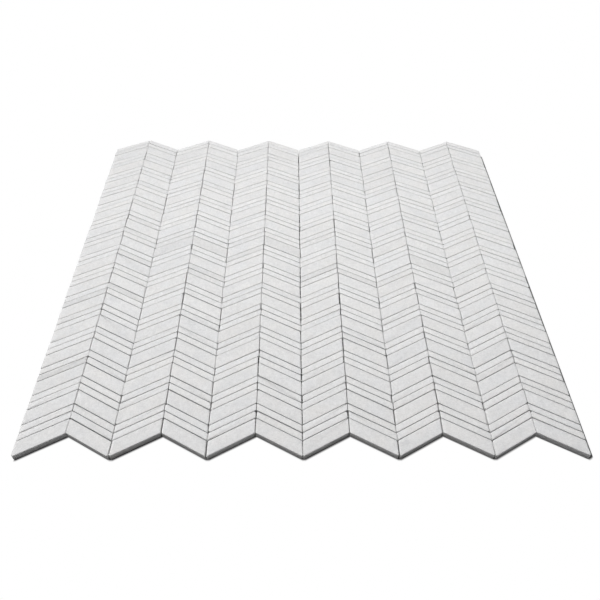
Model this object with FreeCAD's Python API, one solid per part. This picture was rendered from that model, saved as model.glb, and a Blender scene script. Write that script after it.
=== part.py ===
import FreeCAD, Part
import math
import os

# Chevron mosaic sheet: white marble strips laid in sloping columns on a glass-fibre net.
# Millimetres, +Z up. The sheet lies flat with its honed face up.
# The origin is the middle of the net's underside, +X runs across the columns and
# +Y runs along them, from the edge that the chevrons point to towards the other edge.

# Layout of the sheet
COLUMN_COUNT = 12
TRIPLET_COUNT = 15
NARROWS_PER_TRIPLET = 2
COLUMN_PITCH = 25.4
CHEVRON_ANGLE = 30.0

# Stone strips
WIDE_WIDTH = 8.0
NARROW_WIDTH = 3.8
STONE_THICKNESS = 4.0
ARRIS = 0.2
ROW_JOINT = 0.4
COLUMN_JOINT = 0.4

# Net on the back
YARN_PITCH = 5.0
YARN_WIDTH = 0.7
YARN_THICKNESS = 0.15
NET_INSET = 1.5
YARN_TAIL = 0.8

# Worked out from the sizes above
SLOPE = math.tan(math.radians(CHEVRON_ANGLE))
ALONG_Y = 1.0 / math.cos(math.radians(CHEVRON_ANGLE))
RISE = COLUMN_PITCH * SLOPE
TRIPLET_WIDTH = WIDE_WIDTH + NARROWS_PER_TRIPLET * NARROW_WIDTH + (NARROWS_PER_TRIPLET + 1) * ROW_JOINT
TRIPLET_PITCH = TRIPLET_WIDTH * ALONG_Y
SHEET_WIDTH = COLUMN_COUNT * COLUMN_PITCH
RUN_LENGTH = TRIPLET_COUNT * TRIPLET_PITCH - ROW_JOINT * ALONG_Y
SHEET_LENGTH = RUN_LENGTH + RISE
LEFT_X = -SHEET_WIDTH / 2.0
FRONT_Y = -SHEET_LENGTH / 2.0
WEFT_BOTTOM = 0.0
WARP_BOTTOM = WEFT_BOTTOM + YARN_THICKNESS
STONE_BOTTOM = WARP_BOTTOM + YARN_THICKNESS


def chevron_height(x):
    """Height of the zigzag over its tips at x: 0 on even column lines, RISE on odd ones."""
    place = (x - LEFT_X) / COLUMN_PITCH
    column = math.floor(place)
    share = place - column
    if column % 2:
        share = 1.0 - share
    return RISE * share


def strip_solid(width, rises):
    """One strip of a column whose left line is x = 0, with its front edge on the zigzag from y = 0."""
    left = COLUMN_JOINT / 2.0
    right = COLUMN_PITCH - COLUMN_JOINT / 2.0
    start_y = 0.0 if rises else RISE
    slope = SLOPE if rises else -SLOPE
    depth = width * ALONG_Y
    corners = [
        FreeCAD.Vector(left, start_y + left * slope, STONE_BOTTOM),
        FreeCAD.Vector(right, start_y + right * slope, STONE_BOTTOM),
        FreeCAD.Vector(right, start_y + right * slope + depth, STONE_BOTTOM),
        FreeCAD.Vector(left, start_y + left * slope + depth, STONE_BOTTOM),
    ]
    outline = Part.makePolygon(corners + corners[:1])
    block = Part.Face(outline).extrude(FreeCAD.Vector(0, 0, STONE_THICKNESS))
    middle = STONE_BOTTOM + STONE_THICKNESS / 2.0
    top_edges = [edge for edge in block.Edges if edge.BoundBox.ZMin > middle]
    return block.makeChamfer(ARRIS, top_edges)


def wide_places():
    """Places along the column where the wide strips start."""
    return [triplet * TRIPLET_PITCH for triplet in range(TRIPLET_COUNT)]


def narrow_places():
    """Places along the column where the narrow strips start, behind each wide one."""
    first = (WIDE_WIDTH + ROW_JOINT) * ALONG_Y
    step = (NARROW_WIDTH + ROW_JOINT) * ALONG_Y
    return [start + first + narrow * step for start in wide_places() for narrow in range(NARROWS_PER_TRIPLET)]


def column_strips(column, master, places):
    """Copies of one strip along a column."""
    left = LEFT_X + column * COLUMN_PITCH
    strips = []
    for place in places:
        strip = master.copy()
        strip.translate(FreeCAD.Vector(left, FRONT_Y + place, 0))
        strips.append(strip)
    return Part.makeCompound(strips)


def yarn_places(count):
    """Centre lines of yarns one pitch apart, centred on the sheet."""
    return [(step - (count - 1) / 2.0) * YARN_PITCH for step in range(count)]


def net_front(x):
    """Edge of the net at x, set back from the tips and notches of the front edge."""
    return FRONT_Y + chevron_height(x) + NET_INSET * ALONG_Y


def net_back(x):
    """Edge of the net at x, set back from the peaks and valleys of the back edge."""
    return FRONT_Y + chevron_height(x) + RUN_LENGTH - NET_INSET * ALONG_Y


def warp_yarns(places):
    """Yarns along the columns, glued to the backs of the stones."""
    yarns = []
    for x in places:
        corner = FreeCAD.Vector(x - YARN_WIDTH / 2.0, net_front(x), WARP_BOTTOM)
        yarns.append(Part.makeBox(YARN_WIDTH, net_back(x) - net_front(x), YARN_THICKNESS, corner))
    return Part.makeCompound(yarns)


def runs_of_warps(places, y):
    """Groups of neighbouring warp yarns that a weft yarn at y crosses inside the net."""
    runs = []
    open_run = False
    for x in places:
        inside = net_front(x) < y - YARN_WIDTH / 2.0 and y + YARN_WIDTH / 2.0 < net_back(x)
        if inside and not open_run:
            runs.append([])
        if inside:
            runs[-1].append(x)
        open_run = inside
    return runs


def weft_yarns(warp_places, rows):
    """Yarns across the columns, under the warp, cut where the zigzag edges interrupt them."""
    yarns = []
    for y in rows:
        for run in runs_of_warps(warp_places, y):
            start = run[0] - YARN_WIDTH / 2.0 - YARN_TAIL
            end = run[-1] + YARN_WIDTH / 2.0 + YARN_TAIL
            corner = FreeCAD.Vector(start, y - YARN_WIDTH / 2.0, WEFT_BOTTOM)
            yarns.append(Part.makeBox(end - start, YARN_WIDTH, YARN_THICKNESS, corner))
    return Part.makeCompound(yarns)


os.makedirs("parts", exist_ok=True)

for column in range(COLUMN_COUNT):
    rises = column % 2 == 0
    wides = column_strips(column, strip_solid(WIDE_WIDTH, rises), wide_places())
    narrows = column_strips(column, strip_solid(NARROW_WIDTH, rises), narrow_places())
    wides.exportStep(f"parts/column_{column + 1:02d}_wide_strips.step")
    narrows.exportStep(f"parts/column_{column + 1:02d}_narrow_strips.step")

# Warp yarns straddle the middle column line, and the middle weft yarn lies on the origin
warp_half_span = (SHEET_WIDTH - COLUMN_JOINT - YARN_WIDTH) / 2.0 - NET_INSET
weft_half_span = (SHEET_LENGTH - YARN_WIDTH) / 2.0 - NET_INSET * ALONG_Y
warp_places = yarn_places(2 * int(warp_half_span / YARN_PITCH + 0.5))
weft_places = yarn_places(2 * int(weft_half_span / YARN_PITCH) + 1)
warp_yarns(warp_places).exportStep("parts/net_warp_yarns.step")
weft_yarns(warp_places, weft_places).exportStep("parts/net_weft_yarns.step")
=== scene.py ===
"""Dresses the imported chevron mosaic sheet: marble strips, the woven net behind them, and a studio."""

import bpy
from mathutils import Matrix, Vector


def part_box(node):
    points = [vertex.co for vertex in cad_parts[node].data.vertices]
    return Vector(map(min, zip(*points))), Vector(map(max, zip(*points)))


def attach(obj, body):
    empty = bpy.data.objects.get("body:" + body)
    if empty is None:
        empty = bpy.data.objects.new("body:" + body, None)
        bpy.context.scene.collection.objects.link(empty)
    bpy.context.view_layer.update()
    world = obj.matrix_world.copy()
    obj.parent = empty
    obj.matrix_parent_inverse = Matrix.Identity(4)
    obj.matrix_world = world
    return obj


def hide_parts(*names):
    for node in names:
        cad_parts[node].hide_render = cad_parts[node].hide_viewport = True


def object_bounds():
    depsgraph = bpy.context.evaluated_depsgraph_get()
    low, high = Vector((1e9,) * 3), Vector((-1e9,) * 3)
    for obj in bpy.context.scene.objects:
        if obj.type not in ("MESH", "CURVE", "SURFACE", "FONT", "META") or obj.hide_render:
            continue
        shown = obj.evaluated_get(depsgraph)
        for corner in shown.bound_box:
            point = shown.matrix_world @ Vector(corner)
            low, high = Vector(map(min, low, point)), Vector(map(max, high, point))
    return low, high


bl_info = {
    "name": "Chevron mosaic sheet",
    "version": (1, 0, 0),
    "blender": (4, 5, 0),
    "location": "View3D > Sidebar > Mosaic",
    "description": "Lays marble strips and a woven net over the solids of a chevron mosaic sheet",
    "category": "Object",
}

import math
import random

import bmesh
import bpy
from bpy.props import FloatProperty, FloatVectorProperty, IntProperty, PointerProperty
from mathutils import Matrix, Vector

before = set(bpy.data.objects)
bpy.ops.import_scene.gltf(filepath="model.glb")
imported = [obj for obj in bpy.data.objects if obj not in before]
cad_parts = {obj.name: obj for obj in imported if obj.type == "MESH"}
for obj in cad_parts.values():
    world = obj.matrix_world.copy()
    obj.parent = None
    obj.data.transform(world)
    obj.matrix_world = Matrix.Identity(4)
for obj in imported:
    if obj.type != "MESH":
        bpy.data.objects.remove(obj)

CAD_LOW, CAD_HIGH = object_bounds()
WIDE_NODES = sorted(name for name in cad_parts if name.endswith("_wide_strips"))
NARROW_NODES = sorted(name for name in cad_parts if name.endswith("_narrow_strips"))
WARP_NODE = "net_warp_yarns"
WEFT_NODE = "net_weft_yarns"

# Corners of a CAD node's triangles that are nearer than this are the same corner
SAME_CORNER = 1e-6
# Furthest that a laid piece may leave the box of its CAD node
LAYING_LIMIT = 0.0010
# Attribute that gives each strip its own place in the block it was sawn from, and a side of that block
CUT = "block_place"
BLOCK_SIDE = 5.0
# Repeats in a metre of the marble's clouds, tints, mottling, pits and grain
CLOUDS, TINTS, MOTTLING, PITS, GRAIN = 70.0, 95.0, 420.0, 700.0, 1300.0
# Material slots of a strip, and the upward tilt from which a face is honed
HONED, SAWN = 0, 1
HONED_TILT = 0.8
# Power of the random share of an end's length: above 1, long ends are more common than short ones
END_POWER = 1.6
# Range of the random share whose square sizes a spalled end, and spread of the direction in which it breaks
SPALL_RANGE = (0.3, 1.0)
SPALL_SKEW = math.radians(1.5)
# Power of the random share of a chip inside the sheet and on the tips of its edges: the higher, the rarer
CHIP_POWER, TIP_POWER = 5, 1
# Size of a chip on a blunt corner, as a share of its size on a sharp one
BLUNT_SHARE = 0.4
# Axes of the sheet
ACROSS_SHEET, ALONG_SHEET = 0, 1
# Nearest distance that the camera shows
NEAREST_VIEW = 0.01


class StripSettings(bpy.types.PropertyGroup):
    """How evenly the marble strips are sawn and laid."""

    arris: FloatProperty(
        name="Arris",
        description="Width of the eased edge round a honed face",
        default=0.00013,
        unit="LENGTH",
        precision=5,
    )
    chip: FloatProperty(
        name="Chipped corner",
        description="Largest corner that is missing from a strip's outline",
        default=0.0010,
        unit="LENGTH",
        precision=5,
    )
    spall: FloatProperty(
        name="Spalled end",
        description="Largest edge that the saw broke off at the end of a strip",
        default=0.00045,
        unit="LENGTH",
        precision=5,
    )
    end_long: FloatProperty(
        name="Long end",
        description="How far past its place a strip may be sawn at each end",
        default=0.00022,
        unit="LENGTH",
        precision=5,
    )
    end_short: FloatProperty(
        name="Short end",
        description="How far short of its place a strip may be sawn at each end",
        default=0.00026,
        unit="LENGTH",
        precision=5,
    )
    slide: FloatProperty(
        name="Slide",
        description="How far a strip may be laid to one side in its row",
        default=0.00010,
        unit="LENGTH",
        precision=5,
    )
    opening: FloatProperty(
        name="Opening",
        description="How much wider the joints between rows are at the front of the sheet",
        default=0.00012,
        unit="LENGTH",
        precision=5,
    )
    closing: FloatProperty(
        name="Closing",
        description="How much narrower the joints between rows are at the back of the sheet",
        default=0.000235,
        unit="LENGTH",
        precision=5,
    )
    column_share: FloatProperty(
        name="Column share",
        description="Share of the opening and closing that the joints between columns have",
        default=0.30,
        subtype="FACTOR",
    )
    drift: FloatProperty(
        name="Drift",
        description="Usual distance by which a whole column is laid to one side",
        default=0.00006,
        unit="LENGTH",
        precision=5,
    )
    turn: FloatProperty(
        name="Turn",
        description="How far a strip may be turned in its place",
        default=math.radians(0.12),
        subtype="ANGLE",
    )
    lippage: FloatProperty(
        name="Lippage",
        description="How much lower than the highest a honed face may lie",
        default=0.00008,
        unit="LENGTH",
        precision=5,
    )
    seed: IntProperty(
        name="Seed",
        description="Start of the random numbers, picked for how the columns drift",
        default=5625,
    )


class StoneSettings(bpy.types.PropertyGroup):
    """Colours and finish of the marble."""

    warm: FloatVectorProperty(
        name="Warm white",
        description="Colour of the warmest strips",
        default=(0.730, 0.723, 0.716),
        size=3,
        subtype="COLOR",
    )
    cool: FloatVectorProperty(
        name="Cool white",
        description="Colour of the coolest strips",
        default=(0.714, 0.716, 0.7215),
        size=3,
        subtype="COLOR",
    )
    vein: FloatVectorProperty(
        name="Vein",
        description="Colour of the veins",
        default=(0.50, 0.51, 0.52),
        size=3,
        subtype="COLOR",
    )
    narrow_lift: FloatProperty(
        name="Narrow lift",
        description="How much paler the narrow strips are than the wide ones",
        default=0.035,
        subtype="FACTOR",
    )
    honed_roughness: FloatProperty(
        name="Honed roughness",
        description="Roughness of the honed faces",
        default=0.52,
        subtype="FACTOR",
    )
    sawn_roughness: FloatProperty(
        name="Sawn roughness",
        description="Roughness of the sawn sides and backs",
        default=0.78,
        subtype="FACTOR",
    )
    translucency: FloatProperty(
        name="Translucency",
        description="Share of the light that goes into the marble and comes out near by",
        default=1.0,
        subtype="FACTOR",
    )
    depth: FloatProperty(
        name="Light depth",
        description="How far light goes inside the marble",
        default=0.0025,
        unit="LENGTH",
        precision=5,
    )


class NetSettings(bpy.types.PropertyGroup):
    """Colour and weave of the net."""

    yarn: FloatVectorProperty(
        name="Yarn",
        description="Colour of the glass yarn",
        default=(0.80, 0.81, 0.78),
        size=3,
        subtype="COLOR",
    )
    # Painted shade: the yarn is painted this darker colour where it lies deep between its fibres.
    shade: FloatVectorProperty(
        name="Between fibres",
        description="Colour of the yarn between its fibres",
        default=(0.56, 0.58, 0.55),
        size=3,
        subtype="COLOR",
    )
    edge_share: FloatProperty(
        name="Yarn edge",
        description="Thickness of a yarn at its edges, as a share of its thickness in the middle",
        default=0.35,
        subtype="FACTOR",
    )


class StageSettings(bpy.types.PropertyGroup):
    """Floor, light and camera."""

    floor_size: FloatProperty(
        name="Floor",
        description="Length of a side of the floor",
        default=12.0,
        unit="LENGTH",
    )
    floor_colour: FloatVectorProperty(
        name="Floor colour",
        description="Colour of the floor",
        default=(1.0, 1.0, 1.0),
        size=3,
        subtype="COLOR",
    )
    # Painted shadow: the floor is painted this dark colour in a narrow band beside the sheet, where it also
    # takes the lamps' shadow.
    painted_shadow_colour: FloatVectorProperty(
        name="Floor shade",
        description="Colour of the floor in the narrow shadow beside the sheet",
        default=(0.16, 0.16, 0.16),
        size=3,
        subtype="COLOR",
    )
    floor_bounce: FloatVectorProperty(
        name="Floor bounce",
        description="Colour of the light that the floor throws back",
        default=(0.45, 0.45, 0.45),
        size=3,
        subtype="COLOR",
    )
    # Painted shade: near the sheet the floor throws less light back, none at the sheet itself, so the lower
    # sides of the strips come out darker.
    painted_bounce_shade_reach: FloatProperty(
        name="Dim floor",
        description="Distance from the sheet at which the floor throws half of its light back",
        default=0.006,
        unit="LENGTH",
        precision=4,
    )
    # Painted shadow: these settings shape the band beside the sheet in which the floor is painted dark;
    # elsewhere the floor is white to the camera.
    shadow_shift: FloatVectorProperty(
        name="Shadow",
        description="How far the floor stays in shadow beyond the zigzag edges",
        default=(0.0005, -0.0004),
        size=2,
        unit="LENGTH",
        precision=4,
    )
    painted_shadow_tip: FloatProperty(
        name="Shadow tips",
        description="How far the shadow falls short of the tips of the zigzag edges",
        default=0.0005,
        unit="LENGTH",
        precision=4,
    )
    painted_shadow_side: FloatProperty(
        name="Shadow beside",
        description="How far the floor stays in shadow beside the front of the sheet",
        default=0.00198,
        unit="LENGTH",
        precision=5,
    )
    painted_shadow_spread: FloatProperty(
        name="Shadow spread",
        description="How much further the shadow beside the sheet reaches for each metre towards the back",
        default=0.0011,
        unit="LENGTH",
        precision=5,
    )
    painted_shadow_fade: FloatProperty(
        name="Shadow fade",
        description="Width over which the floor turns white beyond the zigzag edges",
        default=0.0017,
        unit="LENGTH",
        precision=4,
    )
    painted_side_fade: FloatProperty(
        name="Side fade",
        description="Width over which the floor turns white beside the sheet",
        default=0.0003,
        unit="LENGTH",
        precision=4,
    )
    key_strength: FloatProperty(
        name="Key light",
        description="Strength of the light from the left and behind",
        default=2.14,
    )
    key_spread: FloatProperty(
        name="Key spread",
        description="Apparent width of the light from the left and behind",
        default=math.radians(10.0),
        subtype="ANGLE",
    )
    key_direction: FloatVectorProperty(
        name="Key direction",
        description="Direction towards the light from the left and behind",
        default=(-0.60, 0.345, 0.72),
        size=3,
        subtype="DIRECTION",
    )
    lamp_power: FloatProperty(
        name="Softbox power",
        description="Power of the softbox over the sheet",
        default=1.15,
        unit="POWER",
    )
    lamp_size: FloatVectorProperty(
        name="Softbox size",
        description="Sides of the softbox, across and along the sheet",
        default=(0.66, 0.12),
        size=2,
        unit="LENGTH",
    )
    lamp_place: FloatVectorProperty(
        name="Softbox place",
        description="Place of the softbox over the sheet",
        default=(-0.005, 0.068, 0.40),
        size=3,
        subtype="TRANSLATION",
    )
    front_power: FloatProperty(
        name="Front power",
        description="Power of the low light in front of the sheet",
        default=1.10,
        unit="POWER",
    )
    front_size: FloatVectorProperty(
        name="Front size",
        description="Width and height of the low light in front of the sheet",
        default=(1.0, 0.3),
        size=2,
        unit="LENGTH",
    )
    front_place: FloatVectorProperty(
        name="Front place",
        description="Place of the low light in front of the sheet",
        default=(-0.30, -1.27, 0.32),
        size=3,
        subtype="TRANSLATION",
    )
    fill_strength: FloatProperty(
        name="Fill light",
        description="Strength of the light from all round",
        default=0.076,
    )
    lens: FloatProperty(
        name="Lens",
        description="Focal length of the camera in millimetres",
        default=38.242,
    )
    sensor: FloatProperty(
        name="Sensor",
        description="Width of the camera's sensor in millimetres",
        default=36.0,
    )
    camera_place: FloatVectorProperty(
        name="Camera",
        description="Place of the camera",
        default=(-0.00634, -0.32702, 0.29989),
        size=3,
        subtype="TRANSLATION",
        precision=5,
    )
    camera_heading: FloatProperty(
        name="Heading",
        description="Direction of the camera, from +Y towards +X",
        default=math.radians(1.162),
        subtype="ANGLE",
    )
    camera_dip: FloatProperty(
        name="Dip",
        description="How far the camera looks down from level",
        default=math.radians(45.658),
        subtype="ANGLE",
    )
    camera_roll: FloatProperty(
        name="Roll",
        description="Turn of the camera round its line of sight",
        default=math.radians(0.907),
        subtype="ANGLE",
    )


def solid_box(corners):
    """Lowest and highest corner of a box round some corners."""
    low = Vector([min(corner[axis] for corner in corners) for axis in range(3)])
    high = Vector([max(corner[axis] for corner in corners) for axis in range(3)])
    return low, high


def loose_solids(node):
    """Corners of each separate solid in a CAD node, from the front of the sheet to its back."""
    shape = bmesh.new()
    shape.from_mesh(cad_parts[node].data)
    bmesh.ops.remove_doubles(shape, verts=shape.verts, dist=SAME_CORNER)
    found = set()
    solids = []
    for first in shape.verts:
        if first in found:
            continue
        found.add(first)
        solid = [first]
        for vert in solid:
            joined = [edge.other_vert(vert) for edge in vert.link_edges]
            fresh = [other for other in joined if other not in found]
            found.update(fresh)
            solid.extend(fresh)
        solids.append([vert.co.copy() for vert in solid])
    shape.free()
    return sorted(solids, key=lambda corners: solid_box(corners)[0].yx[:])


def chevron():
    """Width of a column and slope of its strips."""
    first, second = (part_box(node)[0].x for node in WIDE_NODES[:2])
    corners = loose_solids(WIDE_NODES[0])[0]
    front = min(corners, key=lambda corner: corner.y)
    low, high = solid_box(corners)
    right_end = [corner for corner in corners if high.x - corner.x < SAME_CORNER]
    right = min(right_end, key=lambda corner: corner.y)
    return second - first, (right.y - front.y) / (high.x - low.x)


class Signal:
    """One socket of a shader tree. Arithmetic on it adds Math nodes."""

    def __init__(self, nodes, socket):
        self.nodes = nodes
        self.socket = socket

    def math(self, operation, *others):
        """What a Math node makes of this value and others."""
        values = dict(enumerate((self, *others)))
        return self.nodes.add("ShaderNodeMath", {"operation": operation}, values)

    def larger(self, other):
        """The larger of this value and another."""
        return self.math("MAXIMUM", other)

    def __add__(self, other):
        return self.math("ADD", other)

    def __sub__(self, other):
        return self.math("SUBTRACT", other)

    def __rsub__(self, other):
        return self.nodes.add("ShaderNodeMath", {"operation": "SUBTRACT"}, {0: other, 1: self})

    def __mul__(self, other):
        return self.math("MULTIPLY", other)

    def __abs__(self):
        return self.math("ABSOLUTE")

    __radd__ = __add__
    __rmul__ = __mul__


class Nodes:
    """Adds nodes to one material or world."""

    def __init__(self, owner):
        owner.use_nodes = True
        self.tree = owner.node_tree
        self.tree.nodes.clear()

    def add(self, kind, settings, inputs, output=0):
        """Adds a node, sets it up, feeds its sockets and gives one of its outputs."""
        node = self.tree.nodes.new(kind)
        for name, value in settings.items():
            setattr(node, name, value)
        for name, value in inputs.items():
            socket = node.inputs[name]
            if isinstance(value, Signal):
                self.tree.links.new(value.socket, socket)
            elif socket.type == "RGBA":
                socket.default_value = (*value, 1.0)
            else:
                socket.default_value = value
        return Signal(self, node.outputs[output]) if node.outputs else None

    def mix(self, share, first, second):
        """A colour between two colours."""
        return self.add("ShaderNodeMix", {"data_type": "RGBA"}, {0: share, 6: first, 7: second}, 2)

    def parts(self, vector):
        """The three numbers of a vector."""
        return [self.add("ShaderNodeSeparateXYZ", {}, {"Vector": vector}, axis) for axis in "XYZ"]

    def scaled(self, vector, factor):
        """A colour or vector times a number."""
        return self.add("ShaderNodeVectorMath", {"operation": "SCALE"}, {"Vector": vector, "Scale": factor})

    def noise(self, place, scale, detail, roughness=0.5):
        """Soft noise from 0 to 1."""
        inputs = {"Vector": place, "Scale": scale, "Detail": detail, "Roughness": roughness}
        return self.add("ShaderNodeTexNoise", {}, inputs)

    def stretched(self, place, scale, turn=(0.0, 0.0, 0.0)):
        """A place turned and scaled, so that a pattern runs in one direction."""
        return self.add("ShaderNodeMapping", {}, {"Vector": place, "Scale": scale, "Rotation": turn})

    def threshold(self, value, low, high):
        """0 below low, 1 above high, and smooth between them."""
        inputs = {"Value": value, "From Min": low, "From Max": high}
        return self.add("ShaderNodeMapRange", {"interpolation_type": "SMOOTHSTEP"}, inputs)

    def bump(self, height, strength, distance):
        """A normal tilted by a height."""
        inputs = {"Height": height, "Strength": strength, "Distance": distance}
        return self.add("ShaderNodeBump", {}, inputs)

    def surface(self, inputs):
        """Ends a material in a Principled surface."""
        shader = self.add("ShaderNodeBsdfPrincipled", {}, inputs)
        self.add("ShaderNodeOutputMaterial", {}, {"Surface": shader})

    def seen(self):
        """1 for what the camera, a reflection or a see-through piece shows, and 0 for light on its way."""
        camera = self.add("ShaderNodeLightPath", {}, {}, "Is Camera Ray")
        reflection = self.add("ShaderNodeLightPath", {}, {}, "Is Glossy Ray")
        see_through = self.add("ShaderNodeLightPath", {}, {}, "Is Transmission Ray")
        return camera.larger(reflection).larger(see_through)


class Marble(Nodes):
    """White marble with soft clouds, faint veins and a crystalline grain, different on every strip."""

    def __init__(self, name, stone, lift):
        self.material = bpy.data.materials.new(name)
        super().__init__(self.material)
        self.stone = stone
        place = self.add("ShaderNodeTexCoord", {}, {}, "Object")
        cut = self.add("ShaderNodeAttribute", {"attribute_name": CUT}, {}, "Vector")
        spread = {0: cut, 1: (BLOCK_SIDE, BLOCK_SIDE, BLOCK_SIDE), 2: place}
        self.block = self.add("ShaderNodeVectorMath", {"operation": "MULTIPLY_ADD"}, spread)
        self.clouds = self.noise(self.block, CLOUDS, 3.0, 0.55)
        self.grain = self.noise(self.block, GRAIN, 2.0, 0.6)
        tone, warmth, veined = self.parts(cut)
        mottling = self.noise(self.block, MOTTLING, 2.0, 0.6)
        level = 0.992 + lift + (tone - 0.5) * 0.022 + (self.clouds - 0.5) * 0.11
        level = level + (mottling - 0.5) * 0.24 + (self.grain - 0.5) * 0.36 - self.flecks() * 0.14
        tint = warmth * 0.55 + self.noise(self.block, TINTS, 1.0) * 2.0 - 0.78
        pale = self.scaled(self.mix(tint, stone.cool, stone.warm), level)
        self.colour = self.mix(self.veins(veined) * 0.28, pale, stone.vein)

    def flecks(self):
        """Rare short flecks that lie along the bed of the stone."""
        bed = self.stretched(self.block, (150.0, 420.0, 420.0))
        return self.threshold(self.noise(bed, 1.0, 1.0), 0.76, 0.83)

    def veins(self, veined):
        """Thin bent lines, in patches, on the more veined strips."""
        bed = self.stretched(self.block, (38.0, 90.0, 90.0), (0.0, 0.3, 0.9))
        bent = {"Vector": bed, "Scale": 1.0, "Detail": 4.0, "Distortion": 1.2}
        bends = self.add("ShaderNodeTexNoise", {}, bent)
        lines = 1 - self.threshold(abs(bends - 0.5), 0.0, 0.03)
        patches = self.threshold(self.noise(self.block, 55.0, 1.0), 0.50, 0.64)
        return lines * patches * self.threshold(veined, 0.45, 0.95)

    def stone_surface(self, inputs):
        """Ends the material in a surface that lets light in and out again near by."""
        self.surface({
            **inputs,
            "IOR": 1.5,
            "Subsurface Weight": self.stone.translucency,
            "Subsurface Radius": (1.0, 1.0, 1.0),
            "Subsurface Scale": self.stone.depth,
        })

    def honed(self):
        """The flat face with its eased edges."""
        pits = self.threshold(self.noise(self.block, PITS, 1.0), 0.70, 0.80)
        roughness = self.stone.honed_roughness + (self.clouds - 0.5) * 0.16 + (self.grain - 0.5) * 0.12
        self.stone_surface({
            "Base Color": self.colour,
            "Roughness": roughness,
            "Normal": self.bump(self.grain - pits * 2, 0.25, 0.00004),
        })
        return self.material

    def sawn(self):
        """The sides and the back, with the lines of the saw."""
        lines = self.noise(self.stretched(self.block, (90.0, 90.0, 4200.0)), 1.0, 2.0, 0.6)
        sweep = self.stretched(self.block, (2600.0, 160.0, 200.0), (0.0, 0.0, 0.5))
        swirls = self.noise(sweep, 1.0, 2.0, 0.6)
        marks = lines * 0.5 + swirls * 0.5
        self.stone_surface({
            "Base Color": self.scaled(self.colour, 0.93 + (marks - 0.5) * 0.14),
            "Roughness": self.stone.sawn_roughness + (marks - 0.5) * 0.2,
            "Normal": self.bump(marks + self.grain * 0.5, 0.5, 0.00008),
        })
        return self.material


def marble_finishes(width, stone, lift):
    """The honed and the sawn marble of strips of one width, in the order of their material slots."""
    honed = Marble(f"{width}_honed_marble", stone, lift).honed()
    return [honed, Marble(f"{width}_sawn_marble", stone, lift).sawn()]


def yarn_finish(name, net, along):
    """Glass yarn whose fibres run along one axis."""
    material = bpy.data.materials.new(name)
    nodes = Nodes(material)
    place = nodes.add("ShaderNodeTexCoord", {}, {}, "Object")
    # Fibres and strands in a metre: many across the yarn and few along it
    fine, coarse = [9000.0] * 3, [1500.0] * 3
    fine[along], coarse[along] = 250.0, 90.0
    fibres = nodes.noise(nodes.stretched(place, fine), 1.0, 2.0, 0.7)
    strands = nodes.noise(nodes.stretched(place, coarse), 1.0, 1.0)
    dressing = nodes.noise(place, 120.0, 2.0)
    # Painted shade: where the fibres and strands lie deep, the yarn is painted the darker colour.
    depth = nodes.threshold(fibres * 0.6 + strands * 0.4, 0.36, 0.58)
    nodes.surface({
        "Base Color": nodes.scaled(nodes.mix(depth, net.shade, net.yarn), 0.94 + dressing * 0.12),
        "Roughness": 0.62 - depth * 0.14 + (dressing - 0.5) * 0.2,
        "IOR": 1.5,
        "Normal": nodes.bump(fibres + strands, 0.6, 0.00005),
    })
    return material


def beyond_sheet(nodes, shift=(0.0, 0.0), side=0.0, spread=0.0, tip=0.0):
    """How far a place on the floor lies outside the zigzag edges, and how far outside the sides.

    The zigzag edges are shifted and have blunt tips. The right side is moved out, most of all at the back.
    """
    # With its arguments this gives the band of painted shadow on the floor; without them, the reach of the
    # painted shade in the floor's bounce.
    x, y, _ = nodes.parts(nodes.add("ShaderNodeTexCoord", {}, {}, "Object"))
    x, y = x - shift[0], y - shift[1]
    pitch, slope = chevron()
    zigzag = (x - CAD_LOW.x).math("PINGPONG", pitch) * slope
    past = (x - CAD_HIGH.x).larger(0.0) * slope
    in_front = CAD_LOW.y + zigzag.larger(tip) + past - y
    behind = y - (CAD_HIGH.y - pitch * slope) - zigzag + past * 2
    reach = CAD_HIGH.x + side + (y - CAD_LOW.y) * spread
    beside = (CAD_LOW.x - x).larger(x - reach)
    return in_front.larger(behind), beside


def floor_finish(stage):
    """A floor white to the camera, painted dark as a shadow beside the sheet, that throws little light
    back.
    """
    material = bpy.data.materials.new("pale_floor")
    nodes = Nodes(material)
    # Painted shadow: a band beside the sheet, shifted forward and widened to the right, is painted dark;
    # past it the floor fades to white.
    shadow = (stage.shadow_shift, stage.painted_shadow_side, stage.painted_shadow_spread, stage.painted_shadow_tip)
    beyond, beside = beyond_sheet(nodes, *shadow)
    white_beyond_edges = nodes.threshold(beyond, -stage.painted_shadow_fade / 2, stage.painted_shadow_fade / 2)
    white_share = white_beyond_edges.larger(nodes.threshold(beside, 0.0, stage.painted_side_fade))
    # Painted shadow: the dark colour of the band, which the lamps also shine on.
    shade = nodes.add("ShaderNodeBsdfDiffuse", {}, {"Color": stage.painted_shadow_colour})
    white = nodes.add("ShaderNodeEmission", {}, {"Color": stage.floor_colour, "Strength": 1.0})
    shown = nodes.add("ShaderNodeMixShader", {}, {0: white_share, 1: shade, 2: white})
    # Painted shade: near the sheet the floor throws black instead of its bounce colour.
    edge, sides = beyond_sheet(nodes)
    clear = nodes.threshold(edge.larger(sides), 0.0, 2 * stage.painted_bounce_shade_reach)
    dark = nodes.add("ShaderNodeBsdfDiffuse", {}, {"Color": (0.0, 0.0, 0.0)})
    bounce = nodes.add("ShaderNodeBsdfDiffuse", {}, {"Color": stage.floor_bounce})
    thrown_back = nodes.add("ShaderNodeMixShader", {}, {0: clear, 1: dark, 2: bounce})
    surface = nodes.add("ShaderNodeMixShader", {}, {0: nodes.seen(), 1: thrown_back, 2: shown})
    nodes.add("ShaderNodeOutputMaterial", {}, {"Surface": surface})
    return material


def end_trim(strips, dice):
    """How far short of its place one end of a strip is sawn. Most ends are a little long."""
    return (strips.end_long + strips.end_short) * dice.random() ** END_POWER - strips.end_long


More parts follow.
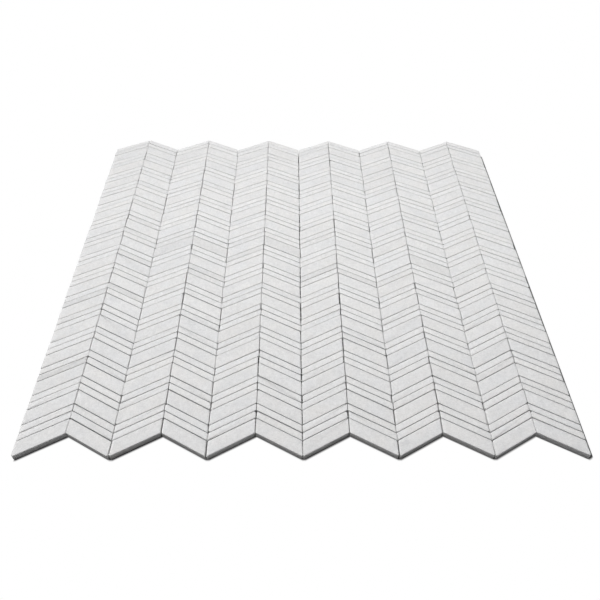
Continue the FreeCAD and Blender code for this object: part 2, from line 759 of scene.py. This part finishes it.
def laid_outline(corners, strips, dice):
    """Outline of a strip, counter-clockwise from above, with uneven ends and laid a little askew."""
    bottom = solid_box(corners)[0].z
    base = [corner for corner in corners if corner.z - bottom < SAME_CORNER]
    base.sort(key=lambda corner: corner.x)
    front_left, back_left = sorted(base[:2], key=lambda corner: corner.y)
    front_right, back_right = sorted(base[2:], key=lambda corner: corner.y)
    along = (front_right - front_left).normalized()
    across = Vector((-along.y, along.x, 0.0))
    middle = sum(base, Vector()) / len(base)
    place = (middle.y - CAD_LOW.y) / (CAD_HIGH.y - CAD_LOW.y)
    growth = (place * (strips.closing + strips.opening) - strips.opening) / 2
    left_trim = along * (end_trim(strips, dice) - growth * strips.column_share)
    right_trim = along * (end_trim(strips, dice) - growth * strips.column_share)
    widen = Vector((0.0, growth, 0.0))
    outline = [
        front_left + left_trim - widen,
        front_right - right_trim - widen,
        back_right - right_trim + widen,
        back_left + left_trim + widen,
    ]
    shift = across * dice.uniform(-strips.slide, strips.slide)
    turn = Matrix.Rotation(dice.uniform(-1, 1) * strips.turn, 3, "Z")
    return [middle + turn @ (corner - middle) + shift for corner in outline]


def chip_corners(block, strips, dice):
    """Chips the corners of an outline, blunt ones less and the tips of the sheet more than the others."""
    outline = block.faces[:][0]
    sharpness = [1.0 if loop.calc_angle() < math.pi / 2 else BLUNT_SHARE for loop in outline.loops]
    for vert, share in zip(list(block.verts), sharpness):
        at_tip = min(vert.co.y - CAD_LOW.y, CAD_HIGH.y - vert.co.y) < strips.chip
        power = TIP_POWER if at_tip else CHIP_POWER
        chip = strips.arris + strips.chip * share * dice.random() ** power
        bmesh.ops.bevel(
            block, geom=[vert], offset=chip, segments=1, profile=0.5, affect="VERTICES", material=-1
        )


def break_end(block, place, outward, depth):
    """Breaks the upper edge off one end of a strip."""
    everything = block.verts[:] + block.edges[:] + block.faces[:]
    slant = (outward + Vector((0.0, 0.0, 1.0))).normalized()
    inset = place - outward * depth
    cut = bmesh.ops.bisect_plane(
        block, geom=everything, dist=SAME_CORNER, plane_co=inset, plane_no=slant, clear_outer=True
    )
    rim = [item for item in cut["geom_cut"] if isinstance(item, bmesh.types.BMEdge)]
    bmesh.ops.edgeloop_fill(block, edges=rim)


def saw_strip(corners, strips, dice):
    """One strip: its outline, chipped corners, thickness, broken ends and eased edges."""
    low, high = solid_box(corners)
    outline = laid_outline(corners, strips, dice)
    block = bmesh.new()
    block.faces.new([block.verts.new(corner) for corner in outline])
    chip_corners(block, strips, dice)
    raised = bmesh.ops.extrude_face_region(block, geom=block.faces[:])["geom"]
    top = [item for item in raised if isinstance(item, bmesh.types.BMVert)]
    lift = Vector((0.0, 0.0, high.z - low.z - dice.uniform(0.0, strips.lippage)))
    bmesh.ops.translate(block, verts=top, vec=lift)
    front_left, front_right, back_right, back_left = (corner + lift for corner in outline)
    ends = (((front_left + back_left) / 2, -1), ((front_right + back_right) / 2, 1))
    for place, side in ends:
        skew = Matrix.Rotation(dice.gauss(0.0, SPALL_SKEW), 3, "Z")
        depth = strips.spall * dice.uniform(*SPALL_RANGE) ** 2
        break_end(block, place, skew @ Vector((side, 0.0, 0.0)), depth)
    face = max(block.faces, key=lambda face: face.calc_center_median().z)
    bmesh.ops.bevel(
        block, geom=face.edges[:], offset=strips.arris, segments=2, profile=0.5, affect="EDGES", material=-1
    )
    bmesh.ops.recalc_face_normals(block, faces=block.faces)
    for face in block.faces:
        face.material_index = HONED if face.normal.z > HONED_TILT else SAWN
    cut = block.verts.layers.float_vector.new(CUT)
    place = Vector((dice.random(), dice.random(), dice.random()))
    for vert in block.verts:
        vert[cut] = place
    return block


def put_in(whole, part):
    """Moves a bmesh into a larger one."""
    carrier = bpy.data.meshes.new("carrier")
    part.to_mesh(carrier)
    part.free()
    whole.from_mesh(carrier)
    bpy.data.meshes.remove(carrier)


def make_piece(name, shape, materials, node):
    """Makes a piece of a bmesh, in the place of a CAD node."""
    mesh = bpy.data.meshes.new(name)
    shape.to_mesh(mesh)
    shape.free()
    for material in materials:
        mesh.materials.append(material)
    piece = bpy.data.objects.new(name, mesh)
    bpy.context.scene.collection.objects.link(piece)
    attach(piece, "root")
    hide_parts(node)
    low, high = solid_box([vert.co for vert in mesh.vertices])
    cad_low, cad_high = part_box(node)
    if max(*map(abs, low - cad_low), *map(abs, high - cad_high)) > LAYING_LIMIT:
        raise RuntimeError(f"{name} has left the place of {node}")


def lay_strips(nodes, materials, strips):
    """Lays one piece of marble strips for each CAD node."""
    for node in nodes:
        dice = random.Random(f"{node} {strips.seed}")
        column = "_".join(node.split("_")[:2])
        drift = Vector((random.Random(f"{column} {strips.seed}").gauss(0.0, strips.drift), 0.0, 0.0))
        stones = bmesh.new()
        for corners in loose_solids(node):
            put_in(stones, saw_strip([corner + drift for corner in corners], strips, dice))
        make_piece(node.replace("strips", "stones"), stones, materials, node)


def yarn_runs(node, along):
    """Each yarn of the net: its corners, the place of its line, and where it starts and ends."""
    runs = []
    for corners in loose_solids(node):
        low, high = solid_box(corners)
        line = round((low[1 - along] + high[1 - along]) / 2, 5)
        runs.append((corners, line, low[along], high[along]))
    return runs


def ranks(runs):
    """The lines of some yarns, counted from one side."""
    return {line: rank for rank, line in enumerate(sorted({run[1] for run in runs}))}


def spin_yarn(corners, along, stops, edge_share):
    """One flattened yarn along an axis, through stops that each give a place along it and a height."""
    low, high = solid_box(corners)
    middle = ((low + high) / 2)[1 - along]
    half_width = (high - low)[1 - along] / 2
    half_thickness = (high.z - low.z) / 2
    yarn = bmesh.new()
    bmesh.ops.create_grid(yarn, x_segments=2, y_segments=len(stops) - 1, size=1.0)
    for vert in yarn.verts:
        side = round(vert.co.x)
        place, height = stops[round((vert.co.y + 1) / 2 * (len(stops) - 1))]
        vert.co.z = height - half_thickness * (edge_share if side else 1.0)
        vert.co[along] = place
        vert.co[1 - along] = middle + side * half_width
    raised = bmesh.ops.extrude_face_region(yarn, geom=yarn.faces[:])["geom"]
    for vert in (item for item in raised if isinstance(item, bmesh.types.BMVert)):
        at_edge = abs(vert.co[1 - along] - middle) > half_width / 2
        vert.co.z += 2 * half_thickness * (edge_share if at_edge else 1.0)
    bmesh.ops.recalc_face_normals(yarn, faces=yarn.faces)
    return yarn


def weave(name, node, other_node, along, first_over, net):
    """Weaves the yarns of one direction over and under those of the other."""
    own, others = yarn_runs(node, along), yarn_runs(other_node, 1 - along)
    own_rank, other_rank = ranks(own), ranks(others)
    bottom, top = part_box(WEFT_NODE)[0].z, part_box(WARP_NODE)[1].z
    middle = (bottom + top) / 2
    heights = [(bottom + middle) / 2, (middle + top) / 2]
    cloth = bmesh.new()
    for corners, line, start, end in own:
        stops = [(start, middle)]
        for _, crossing, other_start, other_end in sorted(others, key=lambda run: run[1]):
            if start < crossing < end and other_start < line < other_end:
                over = (own_rank[line] + other_rank[crossing] + first_over) % 2
                stops.append((crossing, heights[over]))
        stops.append((end, middle))
        put_in(cloth, spin_yarn(corners, along, stops, net.edge_share))
    make_piece(name, cloth, [yarn_finish(f"{name}_glass", net, along)], node)


def spread_floor(stage):
    """The floor under the sheet."""
    shape = bmesh.new()
    bmesh.ops.create_grid(shape, x_segments=1, y_segments=1, size=stage.floor_size / 2)
    mesh = bpy.data.meshes.new("floor")
    shape.to_mesh(mesh)
    shape.free()
    mesh.materials.append(floor_finish(stage))
    floor = bpy.data.objects.new("floor", mesh)
    floor.location.z = CAD_LOW.z
    bpy.context.scene.collection.objects.link(floor)


def light_room(stage):
    """A dim fill from all round that is white to the camera."""
    world = bpy.data.worlds.new("studio")
    nodes = Nodes(world)
    pale = (1.0, 1.0, 1.0)
    fill = nodes.add("ShaderNodeBackground", {}, {"Color": pale, "Strength": stage.fill_strength})
    white = nodes.add("ShaderNodeBackground", {}, {"Color": pale, "Strength": 1.0})
    surface = nodes.add("ShaderNodeMixShader", {}, {0: nodes.seen(), 1: fill, 2: white})
    nodes.add("ShaderNodeOutputWorld", {}, {"Surface": surface})
    bpy.context.scene.world = world


def hang_lamp(name, power, size, place, backward):
    """A rectangular lamp, unseen by the camera, that shines away from a backward direction."""
    data = bpy.data.lights.new(name, "AREA")
    data.shape = "RECTANGLE"
    data.energy = power
    data.size, data.size_y = size
    lamp = bpy.data.objects.new(name, data)
    lamp.location = place
    lamp.rotation_euler = backward.to_track_quat("Z", "Y").to_euler()
    lamp.visible_camera = False
    bpy.context.scene.collection.objects.link(lamp)


def hang_lights(stage):
    """A key light from the left and behind, a softbox over the sheet and a low lamp in front of it."""
    data = bpy.data.lights.new("key_light", "SUN")
    data.energy = stage.key_strength
    data.angle = stage.key_spread
    key = bpy.data.objects.new("key_light", data)
    key.rotation_euler = Vector(stage.key_direction).to_track_quat("Z", "Y").to_euler()
    bpy.context.scene.collection.objects.link(key)
    upward = Vector((0.0, 0.0, 1.0))
    hang_lamp("softbox", stage.lamp_power, stage.lamp_size, Vector(stage.lamp_place), upward)
    front_place = Vector(stage.front_place)
    hang_lamp("front_light", stage.front_power, stage.front_size, front_place, front_place)


def set_camera(stage):
    """The camera of the reference view."""
    data = bpy.data.cameras.new("camera")
    data.sensor_width = stage.sensor
    data.lens = stage.lens
    data.clip_start = NEAREST_VIEW
    camera = bpy.data.objects.new("camera", data)
    heading = Matrix.Rotation(-stage.camera_heading, 4, "Z")
    dip = Matrix.Rotation(math.pi / 2 - stage.camera_dip, 4, "X")
    roll = Matrix.Rotation(stage.camera_roll, 4, "Z")
    camera.matrix_world = Matrix.Translation(stage.camera_place) @ heading @ dip @ roll
    bpy.context.scene.collection.objects.link(camera)
    bpy.context.scene.camera = camera


class MOSAIC_OT_lay_wide_strips(bpy.types.Operator):
    """Lay the wide marble strips of every column"""

    bl_idname = "mosaic.lay_wide_strips"
    bl_label = "Lay wide strips"

    def execute(self, context):
        finishes = marble_finishes("wide", context.scene.mosaic_stone, 0.0)
        lay_strips(WIDE_NODES, finishes, context.scene.mosaic_strips)
        return {"FINISHED"}


class MOSAIC_OT_lay_narrow_strips(bpy.types.Operator):
    """Lay the narrow marble strips of every column"""

    bl_idname = "mosaic.lay_narrow_strips"
    bl_label = "Lay narrow strips"

    def execute(self, context):
        stone = context.scene.mosaic_stone
        finishes = marble_finishes("narrow", stone, stone.narrow_lift)
        lay_strips(NARROW_NODES, finishes, context.scene.mosaic_strips)
        return {"FINISHED"}


class MOSAIC_OT_weave_net(bpy.types.Operator):
    """Weave the glass net on the back of the strips"""

    bl_idname = "mosaic.weave_net"
    bl_label = "Weave net"

    def execute(self, context):
        weave("net_warp", WARP_NODE, WEFT_NODE, ALONG_SHEET, 1, context.scene.mosaic_net)
        weave("net_weft", WEFT_NODE, WARP_NODE, ACROSS_SHEET, 0, context.scene.mosaic_net)
        return {"FINISHED"}


class MOSAIC_OT_set_stage(bpy.types.Operator):
    """Set up the floor, the lights and the camera"""

    bl_idname = "mosaic.set_stage"
    bl_label = "Set stage"

    def execute(self, context):
        stage = context.scene.mosaic_stage
        spread_floor(stage)
        light_room(stage)
        hang_lights(stage)
        set_camera(stage)
        context.scene.view_settings.view_transform = "Standard"
        return {"FINISHED"}


class MOSAIC_PT_sheet(bpy.types.Panel):
    """Settings and steps of the mosaic sheet"""

    bl_idname = "MOSAIC_PT_sheet"
    bl_label = "Chevron mosaic sheet"
    bl_space_type = "VIEW_3D"
    bl_region_type = "UI"
    bl_category = "Mosaic"

    def draw(self, context):
        for name, settings in SETTINGS.items():
            box = self.layout.box()
            for key in settings.__annotations__:
                box.prop(getattr(context.scene, name), key)
        for operator in OPERATORS:
            self.layout.operator(operator.bl_idname)


SETTINGS = {
    "mosaic_strips": StripSettings,
    "mosaic_stone": StoneSettings,
    "mosaic_net": NetSettings,
    "mosaic_stage": StageSettings,
}
OPERATORS = (
    MOSAIC_OT_lay_wide_strips,
    MOSAIC_OT_lay_narrow_strips,
    MOSAIC_OT_weave_net,
    MOSAIC_OT_set_stage,
)


def register():
    for settings in SETTINGS.values():
        bpy.utils.register_class(settings)
    for name, settings in SETTINGS.items():
        setattr(bpy.types.Scene, name, PointerProperty(type=settings))
    for shown in (*OPERATORS, MOSAIC_PT_sheet):
        bpy.utils.register_class(shown)


def unregister():
    for shown in (MOSAIC_PT_sheet, *reversed(OPERATORS)):
        bpy.utils.unregister_class(shown)
    for name, settings in SETTINGS.items():
        delattr(bpy.types.Scene, name)
        bpy.utils.unregister_class(settings)


def main():
    register()
    bpy.ops.mosaic.lay_wide_strips()
    bpy.ops.mosaic.lay_narrow_strips()
    bpy.ops.mosaic.weave_net()
    bpy.ops.mosaic.set_stage()


if __name__ == "__main__":
    main()
